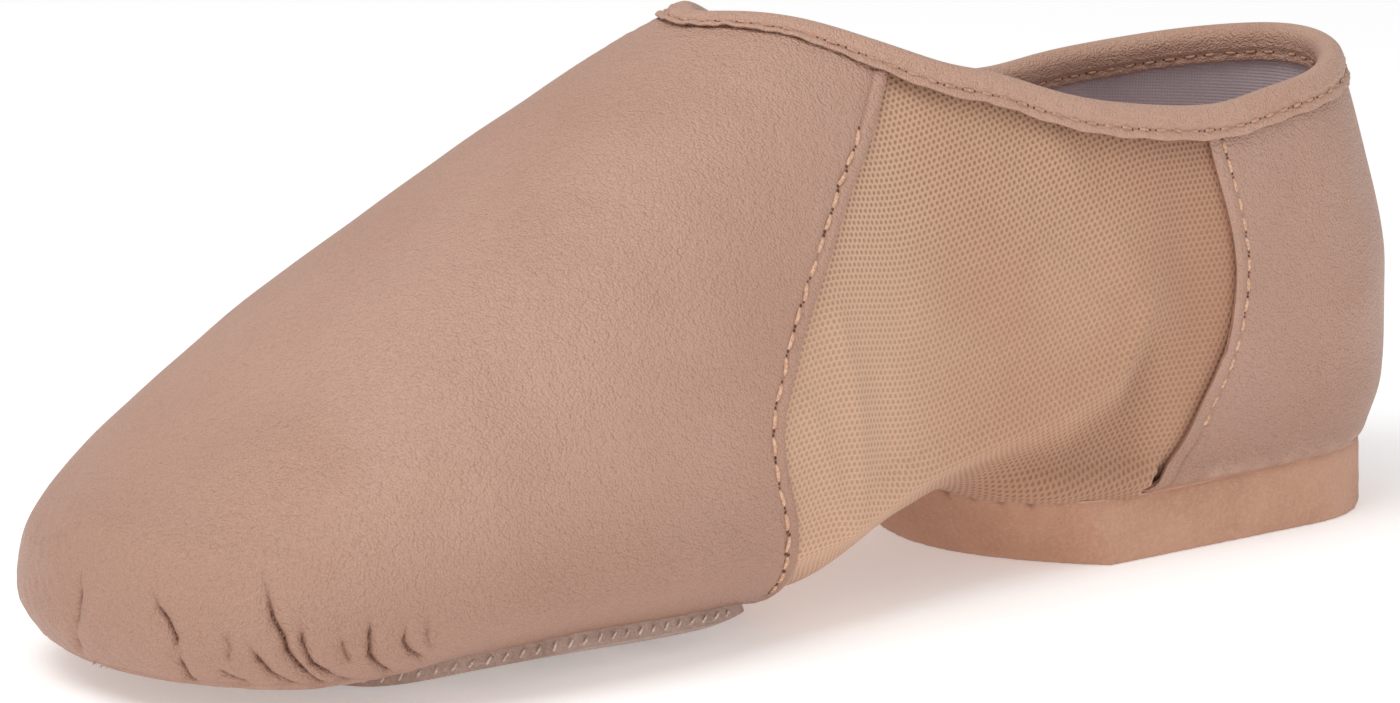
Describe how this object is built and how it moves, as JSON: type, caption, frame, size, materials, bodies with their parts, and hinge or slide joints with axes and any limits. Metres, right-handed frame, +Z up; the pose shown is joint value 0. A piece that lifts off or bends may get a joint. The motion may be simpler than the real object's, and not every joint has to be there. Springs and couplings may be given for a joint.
{
  "type": "jazz shoe",
  "caption": "Slip-on split-sole jazz shoe for the left foot: leather toe and heel panels, stretch mesh arch, bound collar, suede forefoot patch and heel block.",
  "frame": {"origin": "on the floor under the middle of the shoe's outer box", "axes": "+X from the heel to the toe, +Y to the outer side of the left foot, +Z up"},
  "size_m": [0.2444, 0.0876, 0.0906],
  "materials": {
    "leather": "soft full-grain leather, fine pebbled grain, low sheen",
    "binding": "thin folded leather binding",
    "mesh": "stretch mesh with small round holes over a plain lining",
    "lining": "grey woven lining",
    "suede": "napped suede",
    "thread": "twisted sewing thread"
  },
  "bodies": {
    "root": {"upper": "mesh", "vamp": "leather", "counter": "leather", "collar_binding": "binding", "insole": "lining", "front_sole": "suede", "heel_pad": "suede"}
  },
  "joints": []
}
